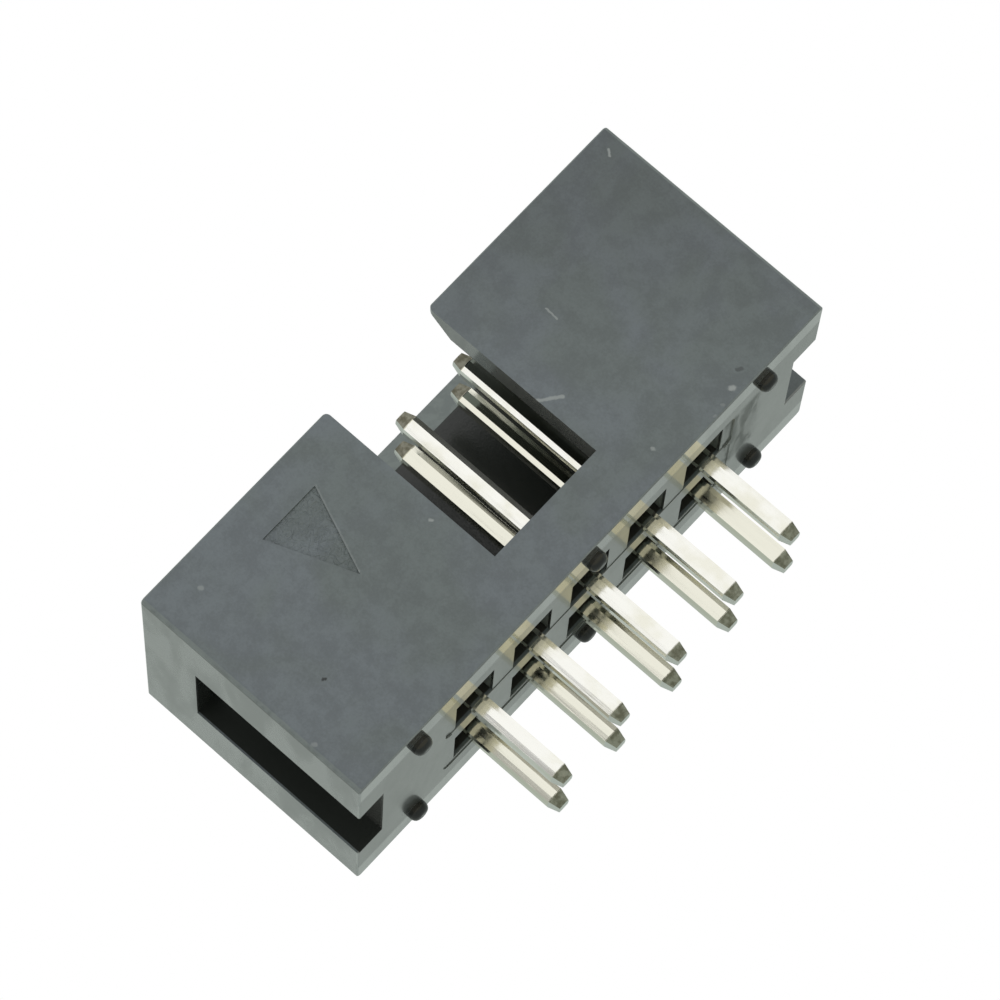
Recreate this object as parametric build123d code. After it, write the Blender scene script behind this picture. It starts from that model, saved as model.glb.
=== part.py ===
from build123d import *
import os

# A shrouded two-row ribbon cable header for through-hole boards.
# Millimetres. The board's surface is z = 0 and the tails point down through it.
# X runs along the rows, and the keyed side wall with the pin 1 mark faces -Y.

# contact grid
columns = 5
column_pitch = 2.54
row_pitch = 2.54

# contact pins, cut from square wire and swaged at both ends
pin_width = 0.64
pin_flat = 0.24
pin_drop = 0.04
tip_width = 0.43
tip_flat = 0.16
tip_drop = 0.027
tip_length = 0.38
tail_length = 3.25
contact_height = 7.95

# moulded housing
end_distance = 5.08
body_width = 8.8
floor_thickness = 1.95
shroud_depth = 6.65
side_wall = 1.0
end_wall = 1.05
corner_radius = 0.18
rim_radius = 0.08
base_radius = 0.06

# bevel that guides the cable socket in, and the flat land left on the rim
lead_in_depth = 0.95
rim_land = 0.15

# key slot in the front wall
key_width = 4.44
key_corner = 0.2

# windows in the end walls, open at the board side
window_width = 3.6
window_height = 6.48

# underside: a pocket round each pin, and the two panels of the mould insert
pocket_width = 1.64
pocket_depth = 0.8
pocket_outer = 1.1
rib_width = 0.9
panel_margin = 1.3
panel_edge = 0.25
panel_radius = 0.3
front_panel_depth = 0.05
back_panel_depth = 0.03

# standoffs that hold the floor off the board
standoff_height = 0.35
standoff_diameter = 0.68
standoff_tip = 0.24
standoff_inset = 1.1
standoff_end_inset = 2.54

# pin 1 mark, a shallow triangle in the front wall
mark_base = 2.25
mark_height = 2.8
mark_depth = 0.06
mark_top = 1.33
mark_offset = 0.18

# places that follow from the sizes above
grid_length = (columns - 1) * column_pitch
body_length = grid_length + 2 * end_distance
cavity_length = body_length - 2 * end_wall
cavity_width = body_width - 2 * side_wall
base_z = standoff_height
floor_z = base_z + floor_thickness
rim_z = floor_z + shroud_depth
front_y = -body_width / 2
first_pin_x = -grid_length / 2
row_places = (-row_pitch / 2, row_pitch / 2)
column_places = [first_pin_x + i * column_pitch for i in range(columns)]
pocket_end = row_pitch / 2 + pocket_outer
panel_length = grid_length + 2 * panel_margin
panel_half_width = pocket_end + panel_edge


def pin_section(width, flat, drop):
    """Square wire section: each side has a flat middle and falls a little to the corners."""
    half = width / 2
    corner = half - drop
    points = []
    quarter = [(half, flat / 2), (corner, corner), (flat / 2, half)]
    for _ in range(4):
        points += quarter
        quarter = [(-y, x) for x, y in quarter]
    return Polygon(*points, align=None)


def contact_pin(x, y):
    """One pin, straight between the shoulders of its two swaged tips."""
    shank_bottom = tip_length - tail_length
    shank_top = contact_height - tip_length
    shank = pin_section(pin_width, pin_flat, pin_drop)
    tip = pin_section(tip_width, tip_flat, tip_drop)
    pin = Pos(0, 0, shank_bottom) * extrude(shank, shank_top - shank_bottom)
    pin += loft([Pos(0, 0, shank_top) * shank, Pos(0, 0, contact_height) * tip])
    pin += loft([Pos(0, 0, -tail_length) * tip, Pos(0, 0, shank_bottom) * shank])
    return Pos(x, y, 0) * pin


def outer_block():
    """The housing's outside, with rounded upright corners, a softened rim and a softened base."""
    block = extrude(Pos(0, 0, base_z) * Rectangle(body_length, body_width), rim_z - base_z)
    block = fillet(block.edges().filter_by(Axis.Z), corner_radius)
    block = fillet(block.faces().sort_by(Axis.Z)[-1].outer_wire().edges(), rim_radius)
    return fillet(block.faces().sort_by(Axis.Z)[0].outer_wire().edges(), base_radius)


def cavity():
    """The socket's space: a straight well that opens into the lead-in bevel."""
    well = Pos(0, 0, floor_z) * extrude(Rectangle(cavity_length, cavity_width), shroud_depth)
    mouth = Rectangle(body_length - 2 * rim_land, body_width - 2 * rim_land)
    throat = Rectangle(cavity_length, cavity_width)
    return well + loft([Pos(0, 0, rim_z - lead_in_depth) * throat, Pos(0, 0, rim_z) * mouth])


def key_slot():
    """The slot for the socket's key, as deep as the well, with rounded top corners."""
    half = key_width / 2
    with BuildSketch(Plane.XZ.offset(-front_y)) as opening:
        with BuildLine():
            right = Line((half, floor_z), (half, rim_z - key_corner))
            flare = RadiusArc(right @ 1, (half + key_corner, rim_z), key_corner)
            top = Line(flare @ 1, (-half - key_corner, rim_z))
            back_flare = RadiusArc(top @ 1, (-half, rim_z - key_corner), key_corner)
            left = Line(back_flare @ 1, (-half, floor_z))
            Line(left @ 1, right @ 0)
        make_face()
    return extrude(opening.sketch, side_wall, dir=(0, 1, 0))


def end_windows():
    """A window in each end wall, from the board side up into the well."""
    window = Pos(0, 0, base_z) * extrude(Rectangle(end_wall, window_width), window_height)
    wall_x = (body_length - end_wall) / 2
    return [Pos(side * wall_x, 0, 0) * window for side in (-1, 1)]


def pin_openings():
    """For each pin a square hole through the floor and a pocket under it."""
    pocket_length = pocket_end - rib_width / 2
    pocket_y = (pocket_end + rib_width / 2) / 2
    pocket = extrude(Rectangle(pocket_width, pocket_length), pocket_depth)
    hole = extrude(pin_section(pin_width, pin_flat, pin_drop), floor_thickness)
    openings = []
    for x in column_places:
        for y in row_places:
            side = 1 if y > 0 else -1
            openings.append(Pos(x, side * pocket_y, base_z) * pocket)
            openings.append(Pos(x, y, base_z) * hole)
    return openings


def underside_panels():
    """Two shallow steps left by the mould insert, which meet at the rib's front edge."""
    seam_y = -rib_width / 2
    panels = []
    for near, far, depth in (
        (-panel_half_width, seam_y, front_panel_depth),
        (seam_y, panel_half_width, back_panel_depth),
    ):
        outline = fillet(Rectangle(panel_length, far - near).vertices(), panel_radius)
        panels.append(Pos(0, (near + far) / 2, base_z) * extrude(outline, depth))
    return panels


def standoffs():
    """Six round feet on the long walls, rounded down to a small flat tip."""
    foot = Pos(0, 0, standoff_height / 2) * Cylinder(standoff_diameter / 2, standoff_height)
    round_over = (standoff_diameter - standoff_tip) / 2
    foot = fillet(foot.faces().sort_by(Axis.Z)[0].edges(), round_over)
    end_x = body_length / 2 - standoff_end_inset
    wall_y = body_width / 2 - standoff_inset
    return [Pos(x, y, 0) * foot for x in (-end_x, 0, end_x) for y in (-wall_y, wall_y)]


def pin_one_mark():
    """The triangle that points down at the first pin."""
    x = first_pin_x - mark_offset
    top = rim_z - mark_top
    corners = ((x - mark_base / 2, top), (x + mark_base / 2, top), (x, top - mark_height))
    outline = Plane.XZ.offset(-front_y) * Polygon(*corners, align=None)
    return extrude(outline, mark_depth, dir=(0, 1, 0))


def housing():
    body = outer_block() - cavity() - key_slot()
    body = body - end_windows() - underside_panels() - pin_openings()
    return body + standoffs() - pin_one_mark()


def save(solid, name):
    export_step(solid, f"parts/{name}.step")
    print(f"{name}: volume {solid.volume:.3f} mm3")


os.makedirs("parts", exist_ok=True)
save(housing(), "housing")
number = 0
for column_x in column_places:
    for row_y in row_places:
        number += 1
        save(contact_pin(column_x, row_y), f"contact_pin_{number:02d}")
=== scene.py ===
import bpy
import math
from mathutils import Matrix, Vector


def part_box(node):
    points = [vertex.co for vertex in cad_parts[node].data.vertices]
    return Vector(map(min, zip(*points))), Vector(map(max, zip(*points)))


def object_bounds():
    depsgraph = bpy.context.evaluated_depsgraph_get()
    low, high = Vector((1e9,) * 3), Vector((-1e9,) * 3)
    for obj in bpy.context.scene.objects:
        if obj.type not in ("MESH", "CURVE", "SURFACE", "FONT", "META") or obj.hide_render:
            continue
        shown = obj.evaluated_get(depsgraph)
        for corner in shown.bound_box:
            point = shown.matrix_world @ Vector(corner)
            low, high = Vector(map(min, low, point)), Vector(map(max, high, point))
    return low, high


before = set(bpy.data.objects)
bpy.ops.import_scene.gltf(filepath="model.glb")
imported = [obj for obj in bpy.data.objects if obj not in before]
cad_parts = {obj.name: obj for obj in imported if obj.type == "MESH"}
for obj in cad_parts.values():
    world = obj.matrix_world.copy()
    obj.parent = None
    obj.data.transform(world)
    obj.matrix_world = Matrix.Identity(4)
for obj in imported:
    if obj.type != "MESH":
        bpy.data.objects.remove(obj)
cadLow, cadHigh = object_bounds()
mm = 0.001
print("box header: frame loaded")


# Small helpers for node trees

def feed(tree, socket, value):
    if isinstance(value, bpy.types.NodeSocket):
        tree.links.new(value, socket)
    else:
        socket.default_value = value


def putNode(tree, kind, inputs=None, **settings):
    node = tree.nodes.new("ShaderNode" + kind)
    for setting, value in settings.items():
        setattr(node, setting, value)
    for name, value in (inputs or {}).items():
        feed(tree, node.inputs[name], value)
    return node


def calc(tree, operation, *values, clamp=False):
    node = putNode(tree, "Math", operation=operation, use_clamp=clamp)
    for socket, value in zip(node.inputs, values):
        feed(tree, socket, value)
    return node.outputs[0]


def chain(tree, operation, values):
    total = values[0]
    for value in values[1:]:
        total = calc(tree, operation, total, value)
    return total


def times(tree, *values):
    return chain(tree, "MULTIPLY", values)


def largest(tree, *values):
    return chain(tree, "MAXIMUM", values)


def outside(tree, mask):
    return calc(tree, "SUBTRACT", 1.0, mask)


def calcVector(tree, operation, *values):
    node = putNode(tree, "VectorMath", operation=operation)
    for socket, value in zip(node.inputs, values):
        feed(tree, socket, value)
    oneNumber = operation in ("DOT_PRODUCT", "LENGTH", "DISTANCE")
    return node.outputs["Value" if oneNumber else "Vector"]


def scaleVector(tree, vector, factor):
    node = putNode(tree, "VectorMath", operation="SCALE")
    feed(tree, node.inputs[0], vector)
    feed(tree, node.inputs["Scale"], factor)
    return node.outputs["Vector"]


def smoothRange(tree, value, low, high, toLow=0.0, toHigh=1.0):
    node = putNode(tree, "MapRange", interpolation_type="SMOOTHSTEP")
    names = ("Value", "From Min", "From Max", "To Min", "To Max")
    for name, entry in zip(names, (value, low, high, toLow, toHigh)):
        feed(tree, node.inputs[name], entry)
    return node.outputs["Result"]


def blendColour(tree, mask, colourA, colourB):
    node = putNode(tree, "Mix", data_type="RGBA")
    feed(tree, node.inputs[0], mask)
    feed(tree, node.inputs[6], colourA)
    feed(tree, node.inputs[7], colourB)
    return node.outputs[2]


def blendValue(tree, mask, valueA, valueB):
    node = putNode(tree, "Mix", data_type="FLOAT")
    feed(tree, node.inputs[0], mask)
    feed(tree, node.inputs[2], valueA)
    feed(tree, node.inputs[3], valueB)
    return node.outputs[0]


def axisOf(tree, vector, axis):
    return putNode(tree, "SeparateXYZ", {"Vector": vector}).outputs[axis]


def newGroup(name, vectors, numbers, results):
    tree = bpy.data.node_groups.new(name, "ShaderNodeTree")
    for socketName in vectors:
        tree.interface.new_socket(name=socketName, in_out="INPUT", socket_type="NodeSocketVector")
    for socketName in numbers:
        tree.interface.new_socket(name=socketName, in_out="INPUT", socket_type="NodeSocketFloat")
    for socketName in results:
        tree.interface.new_socket(name=socketName, in_out="OUTPUT", socket_type="NodeSocketFloat")
    given = tree.nodes.new("NodeGroupInput").outputs
    return tree, given, tree.nodes.new("NodeGroupOutput").inputs


def useGroup(tree, group, **values):
    node = tree.nodes.new("ShaderNodeGroup")
    node.node_tree = group
    for name, value in values.items():
        feed(tree, node.inputs[name], value)
    return node.outputs


def newMaterial(name):
    material = bpy.data.materials.new(name)
    material.use_nodes = True
    material.node_tree.nodes.clear()
    return material, material.node_tree


def placeInMm(tree):
    coordinates = putNode(tree, "TexCoord").outputs["Object"]
    return calcVector(tree, "MULTIPLY", coordinates, (1 / mm, 1 / mm, 1 / mm))


def facingOf(tree):
    return calcVector(tree, "ABSOLUTE", putNode(tree, "TexCoord").outputs["Normal"])


def bumpIn(tree, depthMm, height, before=None):
    inputs = {"Strength": 1.0, "Distance": depthMm * mm, "Height": height}
    if before:
        inputs["Normal"] = before
    return putNode(tree, "Bump", inputs).outputs["Normal"]


def finishMaterial(tree, shader):
    output = putNode(tree, "OutputMaterial")
    tree.links.new(shader.outputs[0], output.inputs["Surface"])


def dress(piece, material):
    piece.data.materials.clear()
    piece.data.materials.append(material)


# Effects that the plastic and the metal share

effectLook = {
    "patchRoughness": 0.55,
    "wobbleScale": 9.0,
    "wobbleDetail": 3.0,
    "strokeCore": 0.35,
}


def buildPatchGroup():
    tree, given, result = newGroup(
        "softPatches", ("Place", "Stretch"), ("Scale", "Detail", "Swirl", "Low", "High"), ("Mask", "Height")
    )
    noise = putNode(
        tree, "TexNoise",
        {
            "Vector": calcVector(tree, "MULTIPLY", given["Place"], given["Stretch"]),
            "Scale": given["Scale"],
            "Detail": given["Detail"],
            "Roughness": effectLook["patchRoughness"],
            "Distortion": given["Swirl"],
        },
    )
    feed(tree, result["Mask"], smoothRange(tree, noise.outputs["Fac"], given["Low"], given["High"]))
    feed(tree, result["Height"], noise.outputs["Fac"])
    return tree


def buildBoxGroup():
    tree, given, result = newGroup("insideBox", ("Place", "Middle", "Half"), ("Feather",), ("Mask",))
    away = calcVector(tree, "ABSOLUTE", calcVector(tree, "SUBTRACT", given["Place"], given["Middle"]))
    over = calcVector(tree, "SUBTRACT", away, given["Half"])
    reach = largest(tree, *(axisOf(tree, over, axis) for axis in "XYZ"))
    feed(tree, result["Mask"], smoothRange(tree, reach, given["Feather"], 0.0))
    return tree


def buildStrokeGroup():
    tree, given, result = newGroup(
        "wearAndHighlightStroke", ("Place", "Start", "End"), ("Width", "Ragged"), ("Mask",)
    )
    wobble = putNode(
        tree, "TexNoise",
        {"Vector": given["Place"], "Scale": effectLook["wobbleScale"], "Detail": effectLook["wobbleDetail"]},
    )
    offset = calcVector(tree, "SUBTRACT", wobble.outputs["Color"], (0.5, 0.5, 0.5))
    place = calcVector(tree, "ADD", given["Place"], scaleVector(tree, offset, given["Ragged"]))
    run = calcVector(tree, "SUBTRACT", given["End"], given["Start"])
    reach = calcVector(tree, "SUBTRACT", place, given["Start"])
    reachAlong = calcVector(tree, "DOT_PRODUCT", reach, run)
    share = calc(tree, "DIVIDE", reachAlong, calcVector(tree, "DOT_PRODUCT", run, run), clamp=True)
    gap = calcVector(tree, "DISTANCE", reach, scaleVector(tree, run, share))
    half = times(tree, given["Width"], 0.5)
    core = times(tree, half, effectLook["strokeCore"])
    feed(tree, result["Mask"], smoothRange(tree, gap, half, core))
    return tree


def patches(tree, place, scale, low, high, detail=4.0, swirl=0.0, stretch=(1.0, 1.0, 1.0)):
    return useGroup(
        tree, softPatches,
        Place=place, Stretch=stretch, Scale=scale, Detail=detail, Swirl=swirl, Low=low, High=high,
    )


def allPatches(tree, place, patterns):
    return {name: patches(tree, place, **values) for name, values in patterns.items()}


softPatches = buildPatchGroup()
insideBox = buildBoxGroup()
wearAndHighlightStroke = buildStrokeGroup()
print("box header: effect groups built")


# Housing plastic

alongY = (1.0, 0.3, 1.0)
housingLook = {
    "wallGrey": (0.196, 0.224, 0.242, 1),
    "wallGreen": (0.182, 0.212, 0.212, 1),
    "glossGrey": (0.085, 0.093, 0.087, 1),
    "borderGrey": (0.13, 0.14, 0.132, 1),
    "dullGrey": (0.055, 0.065, 0.055, 1),
    "edgeRubAndHighlightGrey": (0.27, 0.305, 0.295, 1),
    "pocketPaintedShade": (0.03, 0.03, 0.025, 1),
    "pocketSidePaintedLight": (0.4, 0.43, 0.4, 1),
    "seamPaintedLight": (0.34, 0.36, 0.34, 1),
    "wellPaintedShade": (0.034, 0.038, 0.034, 1),
    "slotSidePaintedShade": (0.06, 0.06, 0.053, 1),
    "footPaintedShade": (0.012, 0.013, 0.012, 1),
    "scuffAndHighlight": (0.55, 0.58, 0.56, 1),
    "pit": (0.02, 0.023, 0.025, 1),
    "wallRoughness": 0.42,
    "endRoughness": 0.24,
    "borderRoughness": 0.07,
    "underRoughness": 0.3,
    "filmRoughness": 0.36,
    "wellRoughness": 0.2,
    "footRoughness": 0.25,
    "roughnessSpread": 0.02,
    "coatRoughness": 0.1,
    "plasticIor": 1.5,
    "paintedShadeAtFarEnd": 0.74,
    "mottle": 0.12,
    "grainShare": 0.35,
    "edgeRubAndHighlightSpread": (0.65, 0.95),
    "dullSpread": (0.55, 1.0),
    "filmCover": 0.7,
    "dulledBy": {"dull": 0.85, "film": 0.25, "middle": 0.3},
    "strokeRagged": 0.1,
    "stippleTimes": 5.0,
    "grainDepthMm": 0.004,
    "waveDepthMm": 0.03,
    "patterns": {
        "broad": {"scale": 0.35, "low": 0.35, "high": 0.65, "detail": 2.0, "swirl": 0.6},
        "cloudy": {"scale": 1.7, "low": 0.3, "high": 0.7},
        "grain": {"scale": 14.0, "low": 0.3, "high": 0.7},
        "film": {"scale": 0.8, "low": 0.4, "high": 0.62, "detail": 5.0, "swirl": 0.4, "stretch": alongY},
        "blotch": {"scale": 2.4, "low": 0.4, "high": 0.6, "detail": 3.0, "swirl": 0.6, "stretch": alongY},
        "stipple": {"scale": 5.0, "low": 0.35, "high": 0.65, "detail": 2.0, "swirl": 1.5},
        "waves": {"scale": 0.4, "low": 0.0, "high": 1.0, "detail": 0.0, "stretch": alongY},
    },
}

# places on the housing in mm, from the frame and from the sizes of the moulding
housingLow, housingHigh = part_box("housing")
wallFace = housingLow.y / mm
rimHeight = housingHigh.z / mm
baseHeight = 0.35
wellFloor = 2.3
wellMiddle = (wellFloor + rimHeight) / 2
borderEdge = -wallFace - 1.02

# the ends of each smooth step: how squarely a face points one way, then heights and places in mm
squarely = (0.6, 0.85)
roundedEdge = (0.99, 0.9)
underStep = (baseHeight + 0.12, baseHeight + 0.06)
footStep = (baseHeight - 0.001, baseHeight - 0.005)
seamStep = (baseHeight + 0.07, baseHeight + 0.055)
seamReach = (3.1, 2.9)
borderStep = (borderEdge - 0.08, borderEdge + 0.08)
paintedFarShadeStep = (6.0, 18.0)

# boxes with a look of their own: middle, half size and feather in mm
housingBoxes = {
    "well": ((0.0, 0.0, wellMiddle), (9.13, 3.42, rimHeight - wellMiddle + 0.1), 0.03),
    "window": ((-9.6, 0.0, 3.6), (0.48, 1.84, 3.3), 0.03),
    "pocket": ((0.0, 0.0, 0.86), (5.95, 2.42, 0.34), 0.05),
    "mark": ((-5.26, wallFace + 0.07, 6.22), (1.2, 0.03, 1.45), 0.01),
    "dull": ((6.6, -0.6, baseHeight), (0.65, 1.7, 0.1), 0.6),
}

# marks on the front wall: start and end as (x, z) in mm, width in mm, strength
frontMarks = {
    "long scratch": ((4.55, 6.35), (4.53, 5.89), 0.09, 0.5),
    "scratch by the slot": ((2.2, 4.62), (2.82, 4.14), 0.15, 0.55),
    "nick at the corner": ((9.62, 8.36), (9.47, 8.2), 0.12, 0.6),
    # painted highlight along the right side of the pin 1 triangle
    "nick under the triangle": ((-5.29, 5.03), (-5.2, 4.9), 0.1, 0.4),
    "painted highlight along the triangle's side": ((-4.14, 7.6), (-5.2, 4.95), 0.13, 0.2),
    "speck by the end foot": ((6.36, 0.68), (6.41, 0.64), 0.24, 0.7),
    "speck by pin five": ((3.37, 1.13), (3.4, 1.09), 0.17, 0.5),
    "speck at the rim": ((-8.7, 7.94), (-8.66, 7.9), 0.18, 0.35),
    "speck at the corner": ((-9.98, 2.32), (-9.95, 2.28), 0.2, 0.3),
    "speck left of the slot": ((-2.66, 4.44), (-2.62, 4.38), 0.13, 0.6),
    "first low speck": ((5.36, 0.47), (5.4, 0.44), 0.12, 0.25),
    "second low speck": ((5.78, 0.53), (5.81, 0.5), 0.12, 0.2),
}
darkMarks = {
    "pit low on the left": ((-8.34, 3.45), (-8.3, 3.41), 0.14, 0.9),
    "pit near the end foot": ((6.92, 0.93), (7.04, 0.86), 0.17, 0.5),
}


def strokesMask(tree, place, marks):
    total = 0.0
    for start, end, width, strength in marks.values():
        stroke = useGroup(
            tree, wearAndHighlightStroke,
            Place=place, Start=(start[0], wallFace, start[1]), End=(end[0], wallFace, end[1]),
            Width=width, Ragged=housingLook["strokeRagged"],
        )
        total = largest(tree, total, times(tree, stroke["Mask"], strength))
    return total


def boxMask(tree, place, middle, half, feather):
    return useGroup(tree, insideBox, Place=place, Middle=middle, Half=half, Feather=feather)["Mask"]


def housingMasks(tree, place, pattern):
    height = axisOf(tree, place, "Z")
    fromMiddle = calc(tree, "ABSOLUTE", axisOf(tree, place, "Y"))
    facing = facingOf(tree)
    end, wall, level = (smoothRange(tree, axisOf(tree, facing, axis), *squarely) for axis in "XYZ")
    squareOn = largest(tree, *(axisOf(tree, facing, axis) for axis in "XYZ"))
    under = times(tree, level, smoothRange(tree, height, *underStep))
    seam = times(tree, smoothRange(tree, height, *seamStep), largest(tree, wall, end))
    box = {name: boxMask(tree, place, *values) for name, values in housingBoxes.items()}
    unevenDull = blendValue(tree, pattern["blotch"]["Mask"], *housingLook["dullSpread"])
    return {
        "wall": wall,
        "end": end,
        "under": under,
        "edge": smoothRange(tree, squareOn, *roundedEdge),
        "foot": smoothRange(tree, height, *footStep),
        "border": times(tree, smoothRange(tree, fromMiddle, *borderStep), under),
        "seam": times(tree, seam, smoothRange(tree, fromMiddle, *seamReach)),
        "well": largest(tree, box["well"], box["window"]),
        "pocket": box["pocket"],
        "mark": box["mark"],
        "dull": times(tree, box["dull"], under, unevenDull),
    }


def housingColour(tree, place, masks, pattern):
    look = housingLook
    colour = blendColour(tree, pattern["broad"]["Mask"], look["wallGrey"], look["wallGreen"])
    colour = blendColour(tree, masks["wall"], look["glossGrey"], colour)
    mottle = blendValue(tree, look["grainShare"], pattern["cloudy"]["Mask"], pattern["grain"]["Mask"])
    mottle = smoothRange(tree, mottle, 0.0, 1.0, 1.0 - look["mottle"], 1.0 + look["mottle"])
    # painted shade: the colour darkens towards the far end of the wall and up towards the rim, where less
    # light falls
    towardsFarRim = calc(tree, "ADD", axisOf(tree, place, "X"), axisOf(tree, place, "Z"))
    paintedFarShade = smoothRange(tree, towardsFarRim, *paintedFarShadeStep, 1.0, look["paintedShadeAtFarEnd"])
    colour = scaleVector(tree, colour, times(tree, mottle, paintedFarShade))
    # edge wear and painted highlight: the rounded edges are painted lighter, partly rubbed and partly
    # standing in for the highlights they catch
    edgeRubAndHighlight = times(tree, masks["edge"], blendValue(tree, pattern["blotch"]["Mask"], *look["edgeRubAndHighlightSpread"]))
    layers = (
        (masks["border"], look["borderGrey"]),
        (masks["dull"], look["dullGrey"]),
        (edgeRubAndHighlight, look["edgeRubAndHighlightGrey"]),
        # light scuffs and specks, and the painted highlight along the triangle's side
        (strokesMask(tree, place, frontMarks), look["scuffAndHighlight"]),
        (strokesMask(tree, place, darkMarks), look["pit"]),
        # painted light: the small step walls of the underside panels are painted light grey against the
        # shade under the recess
        (masks["seam"], look["seamPaintedLight"]),
        # painted shade in the pin pockets, and painted light on their end-facing side walls, standing in for
        # the white they reflect
        (masks["pocket"], blendColour(tree, masks["end"], look["pocketPaintedShade"], look["pocketSidePaintedLight"])),
        # painted shade inside the well, the key slot and the end windows
        (masks["well"], blendColour(tree, masks["end"], look["wellPaintedShade"], look["slotSidePaintedShade"])),
        # painted shade: the standoff feet are painted darker than the underside they stand on
        (masks["foot"], look["footPaintedShade"]),
    )
    for mask, layer in layers:
        colour = blendColour(tree, mask, colour, layer)
    return colour


def housingRoughness(tree, masks, pattern):
    look = housingLook
    # the film is a thin dull skin that lies in patches on the glossier faces
    film = times(tree, pattern["film"]["Mask"], look["filmCover"])
    glossy = blendValue(tree, masks["under"], look["endRoughness"], look["underRoughness"])
    glossy = blendValue(tree, film, glossy, look["filmRoughness"])
    glossy = blendValue(tree, masks["border"], glossy, look["borderRoughness"])
    glossy = blendValue(tree, masks["dull"], glossy, look["wallRoughness"])
    roughness = blendValue(tree, masks["wall"], glossy, look["wallRoughness"])
    spread = look["roughnessSpread"]
    uneven = blendValue(tree, pattern["cloudy"]["Mask"], -spread, spread)
    roughness = calc(tree, "ADD", roughness, uneven)
    roughness = blendValue(tree, masks["well"], roughness, look["wellRoughness"])
    return blendValue(tree, masks["foot"], roughness, look["footRoughness"])


def housingGloss(tree, masks, pattern):
    # the ends and the underside have a glossier skin than the long walls, glossiest along the borders
    dulledBy = housingLook["dulledBy"]
    middle = calc(tree, "SUBTRACT", masks["under"], masks["border"])
    dulling = largest(
        tree,
        times(tree, masks["dull"], dulledBy["dull"]),
        times(tree, pattern["film"]["Mask"], dulledBy["film"]),
        times(tree, middle, dulledBy["middle"]),
    )
    skin = outside(tree, largest(tree, masks["wall"], masks["well"], masks["foot"]))
    return times(tree, skin, outside(tree, dulling))


def housingNormal(tree, masks, pattern):
    # fine grain on the walls, a rough floor in the pin 1 mark, and slow sink waves on the other faces
    grain = times(tree, pattern["grain"]["Height"], masks["wall"])
    stipple = times(tree, pattern["stipple"]["Mask"], masks["mark"], housingLook["stippleTimes"])
    fineNormal = bumpIn(tree, housingLook["grainDepthMm"], calc(tree, "ADD", grain, stipple))
    smooth = outside(tree, largest(tree, masks["wall"], masks["foot"]))
    waves = times(tree, pattern["waves"]["Height"], smooth)
    return bumpIn(tree, housingLook["waveDepthMm"], waves, before=fineNormal)


def buildHousingMaterial():
    material, tree = newMaterial("blackHousingPlastic")
    place = placeInMm(tree)
    pattern = allPatches(tree, place, housingLook["patterns"])
    masks = housingMasks(tree, place, pattern)
    shader = putNode(
        tree, "BsdfPrincipled",
        {
            "Base Color": housingColour(tree, place, masks, pattern),
            "Roughness": housingRoughness(tree, masks, pattern),
            "Metallic": 0.0,
            "IOR": housingLook["plasticIor"],
            "Coat Weight": housingGloss(tree, masks, pattern),
            "Coat Roughness": housingLook["coatRoughness"],
            "Normal": housingNormal(tree, masks, pattern),
        },
    )
    finishMaterial(tree, shader)
    return material


dress(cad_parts["housing"], buildHousingMaterial())
print("box header: housing dressed")


# Tin plated pins

pinLook = {
    "tin": (0.89, 0.885, 0.83, 1),
    "warmTinStainAndShade": (0.76, 0.745, 0.62, 1),
    "swagedDarkOxideAndShade": (0.21, 0.2, 0.145, 1),
    "swagedPaleOxideAndShade": (0.4, 0.39, 0.31, 1),
    "cutEnd": (0.8, 0.81, 0.77, 1),
    "rowPaintedShadeAndWarmth": 0.75,
    "stainWarmth": 0.7,
    "drawnRoughness": (0.06, 0.13),
    "swagedRoughness": 0.38,
    "lineDepthMm": 0.002,
    "tipDepthMm": 0.02,
    "tipLengthMm": 0.38,
    "patterns": {
        "drawn": {"scale": 7.0, "low": 0.3, "high": 0.7, "stretch": (1.0, 1.0, 0.05)},
        "stain": {"scale": 1.3, "low": 0.4, "high": 0.72, "stretch": (1.0, 1.0, 0.7)},
        "rough": {"scale": 11.0, "low": 0.3, "high": 0.7},
        "bruise": {"scale": 5.0, "low": 0.35, "high": 0.65},
    },
}

# the ends of each smooth step on a pin: past a shoulder, between the rows, and how squarely it faces
tipStep = (0.02, -0.03)
rowStep = (-0.5, 0.5)
pressedStep = (0.45, 0.65)


def pinTipMask(tree, place):
    height = axisOf(tree, place, "Z")
    low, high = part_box("contact_pin_01")
    lowShoulder = low.z / mm + pinLook["tipLengthMm"]
    highShoulder = high.z / mm - pinLook["tipLengthMm"]
    lowTip = smoothRange(tree, height, *(lowShoulder + step for step in tipStep))
    highTip = smoothRange(tree, height, *(highShoulder - step for step in tipStep))
    return largest(tree, lowTip, highTip)


def pinColour(tree, place, tipMask, pressedMask, pattern):
    # painted shade and warm reflection: the row away from the key slot is painted a little darker and
    # yellower, and stains warm the tin in patches
    paintedRowShade = smoothRange(tree, axisOf(tree, place, "Y"), *rowStep, 0.0, pinLook["rowPaintedShadeAndWarmth"])
    stainAndRowShade = largest(tree, paintedRowShade, times(tree, pattern["stain"]["Mask"], pinLook["stainWarmth"]))
    colour = blendColour(tree, stainAndRowShade, pinLook["tin"], pinLook["warmTinStainAndShade"])
    # oxide and painted shade: the pressed facets of the tips are painted dark, partly for their dull oxide
    # and partly for the darker surroundings they reflect
    tipOxideAndShade = blendColour(tree, pattern["bruise"]["Mask"], pinLook["swagedDarkOxideAndShade"], pinLook["swagedPaleOxideAndShade"])
    tipColour = blendColour(tree, pressedMask, pinLook["cutEnd"], tipOxideAndShade)
    return blendColour(tree, tipMask, colour, tipColour)


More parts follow.
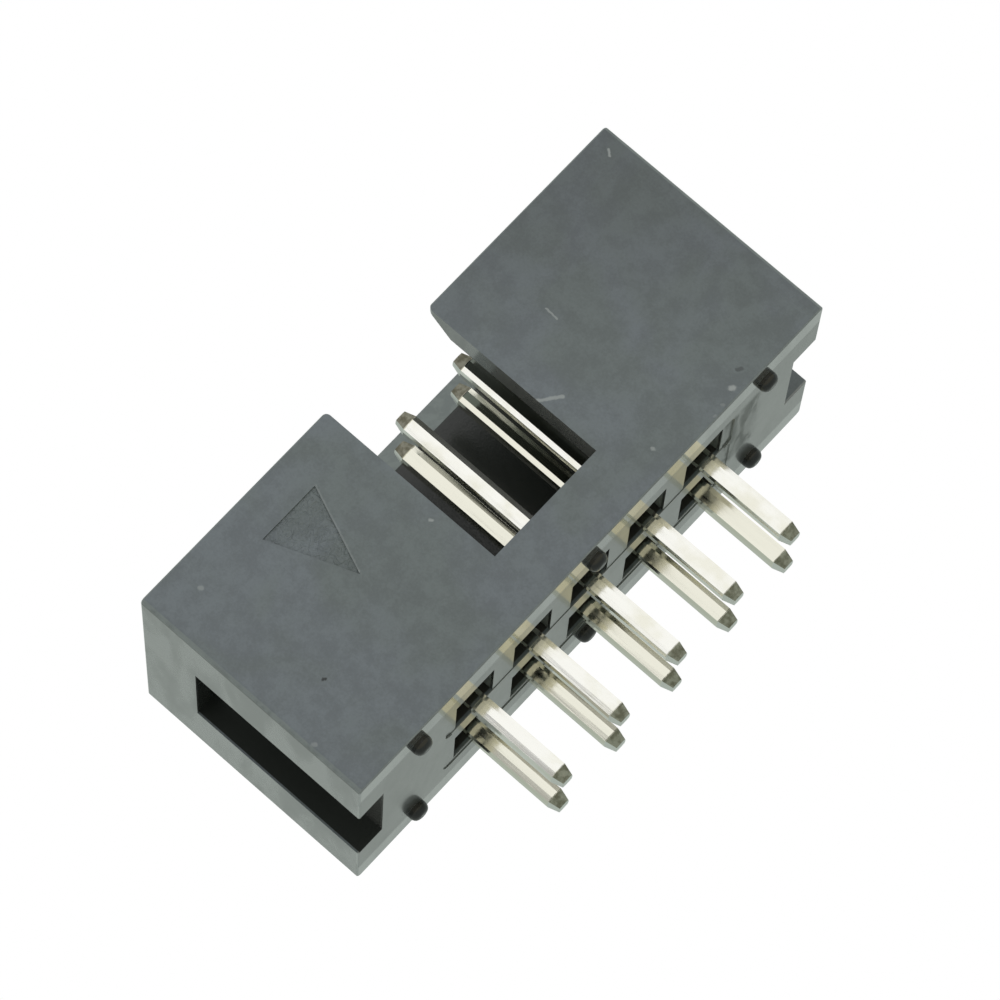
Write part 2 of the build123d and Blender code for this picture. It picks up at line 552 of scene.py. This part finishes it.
def buildPinMaterial():
    material, tree = newMaterial("tinPlatedPin")
    place = placeInMm(tree)
    pattern = allPatches(tree, place, pinLook["patterns"])
    tipMask = pinTipMask(tree, place)
    pressedMask = smoothRange(tree, axisOf(tree, facingOf(tree), "Y"), *pressedStep)
    drawn = pattern["drawn"]
    roughness = smoothRange(tree, drawn["Mask"], 0.0, 1.0, *pinLook["drawnRoughness"])
    tipHeight = times(tree, pattern["rough"]["Height"], times(tree, tipMask, pressedMask))
    lineNormal = bumpIn(tree, pinLook["lineDepthMm"], drawn["Height"])
    shader = putNode(
        tree, "BsdfPrincipled",
        {
            "Base Color": pinColour(tree, place, tipMask, pressedMask, pattern),
            "Roughness": blendValue(tree, tipMask, roughness, pinLook["swagedRoughness"]),
            "Metallic": 1.0,
            "Normal": bumpIn(tree, pinLook["tipDepthMm"], tipHeight, before=lineNormal),
        },
    )
    finishMaterial(tree, shader)
    return material


pinMaterial = buildPinMaterial()
for name, piece in sorted(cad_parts.items()):
    if name.startswith("contact_pin"):
        dress(piece, pinMaterial)
print("box header: pins dressed")


# Floor, world and lamp

floorLook = {
    "colour": (0.8, 0.8, 0.8, 1),
    "radiusMm": 900.0,
    "corners": 96,
    "plainToMm": 14.0,
    "whiteFromMm": 60.0,
    "card": (0.84, 0.81, 0.62, 1),
    "cardEdgeMm": -7.0,
    "cardFadeMm": 1.0,
}
worldLook = {
    "paper": (0.48, 0.53, 0.495, 1),
    "room": (0.5, 0.5, 0.5, 1),
    "roomEdge": -0.5,
    "paperEdge": 0.3,
}
softboxLook = {
    "aimMm": (0, 0, 4),
    "direction": (0.305, -0.93, 0.2),
    "distanceMm": 170.0,
    "widthMm": 212.0,
    "heightMm": 130.0,
    "watts": 0.048,
}
white = (1, 1, 1, 1)


def floorColour(tree, place, mirrored):
    # a warm card lies in front of the object, and only shows in polished metal and plastic
    edge, fade = floorLook["cardEdgeMm"], floorLook["cardFadeMm"]
    card = smoothRange(tree, axisOf(tree, place, "Y"), edge + fade, edge - fade)
    paper = blendColour(tree, card, worldLook["paper"], floorLook["card"])
    return blendColour(tree, mirrored, white, paper)


def buildFloorMaterial():
    material, tree = newMaterial("paleFloor")
    coordinates = putNode(tree, "TexCoord").outputs["Object"]
    place = calcVector(tree, "MULTIPLY", coordinates, (1 / mm, 1 / mm, 0.0))
    away = calcVector(tree, "LENGTH", place)
    fade = smoothRange(tree, away, floorLook["plainToMm"], floorLook["whiteFromMm"])
    rays = putNode(tree, "LightPath").outputs
    mirrored = largest(tree, rays["Is Glossy Ray"], rays["Is Transmission Ray"])
    seen = largest(tree, times(tree, fade, rays["Is Camera Ray"]), mirrored)
    plain = putNode(tree, "BsdfDiffuse", {"Color": floorLook["colour"]})
    glow = putNode(tree, "Emission", {"Color": floorColour(tree, place, mirrored), "Strength": 1.0})
    clear = putNode(tree, "BsdfTransparent")
    top = putNode(tree, "MixShader", {0: seen, 1: plain.outputs[0], 2: glow.outputs[0]})
    # from below the floor is clear, so that the underside can be seen
    fromBelow = putNode(tree, "NewGeometry").outputs["Backfacing"]
    both = putNode(tree, "MixShader", {0: fromBelow, 1: top.outputs[0], 2: clear.outputs[0]})
    finishMaterial(tree, both)
    return material


def buildFloor():
    bpy.ops.mesh.primitive_circle_add(
        vertices=floorLook["corners"], radius=floorLook["radiusMm"] * mm, fill_type="NGON",
        location=(0, 0, cadLow.z),
    )
    floor = bpy.context.object
    floor.name = "studioFloor"
    dress(floor, buildFloorMaterial())


def buildWorld():
    world = bpy.data.worlds.new("studioWorld")
    bpy.context.scene.world = world
    world.use_nodes = True
    tree = world.node_tree
    tree.nodes.clear()
    direction = putNode(tree, "TexCoord").outputs["Generated"]
    side = smoothRange(tree, axisOf(tree, direction, "Y"), worldLook["roomEdge"], worldLook["paperEdge"])
    lit = blendColour(tree, side, worldLook["room"], worldLook["paper"])
    isCamera = putNode(tree, "LightPath").outputs["Is Camera Ray"]
    colour = blendColour(tree, isCamera, lit, white)
    background = putNode(tree, "Background", {"Color": colour, "Strength": 1.0})
    output = putNode(tree, "OutputWorld")
    tree.links.new(background.outputs[0], output.inputs["Surface"])


def buildSoftbox():
    lamp = bpy.data.lights.new("softbox", "AREA")
    lamp.shape = "RECTANGLE"
    lamp.size = softboxLook["widthMm"] * mm
    lamp.size_y = softboxLook["heightMm"] * mm
    lamp.energy = softboxLook["watts"]
    box = bpy.data.objects.new("softbox", lamp)
    bpy.context.scene.collection.objects.link(box)
    direction = Vector(softboxLook["direction"]).normalized()
    box.location = (Vector(softboxLook["aimMm"]) + direction * softboxLook["distanceMm"]) * mm
    box.rotation_euler = direction.to_track_quat("Z", "Y").to_euler()


buildFloor()
buildWorld()
buildSoftbox()
print("box header: floor, world and softbox ready")


# Camera, at the photograph's viewing angle

cameraLook = {
    "aimMm": (0.441, 0.0, 4.296),
    "distanceMm": 172.25,
    "azimuth": -16.018,
    "elevation": -11.671,
    "roll": 49.442,
    "lensMm": 207.25,
    "sensorMm": 36,
    "nearestMm": 10,
    "farthestMm": 10000,
}


def buildCamera():
    camera = bpy.data.objects.new("photoCamera", bpy.data.cameras.new("photoCamera"))
    bpy.context.scene.collection.objects.link(camera)
    azimuth, elevation, roll = (math.radians(cameraLook[k]) for k in ("azimuth", "elevation", "roll"))
    level = math.cos(elevation)
    back = Vector((math.sin(azimuth) * level, -math.cos(azimuth) * level, math.sin(elevation)))
    levelUp = (Vector((0, 0, 1)) - back * back.z).normalized()
    up = levelUp * math.cos(roll) + levelUp.cross(back) * math.sin(roll)
    eye = (Vector(cameraLook["aimMm"]) + back * cameraLook["distanceMm"]) * mm
    turn = Matrix((up.cross(back), up, back)).transposed().to_4x4()
    camera.matrix_world = Matrix.Translation(eye) @ turn
    camera.data.lens = cameraLook["lensMm"]
    camera.data.sensor_width = cameraLook["sensorMm"]
    camera.data.clip_start = cameraLook["nearestMm"] * mm
    camera.data.clip_end = cameraLook["farthestMm"] * mm
    bpy.context.scene.camera = camera


buildCamera()
bpy.context.scene.view_settings.view_transform = "Standard"
print("box header: camera set")
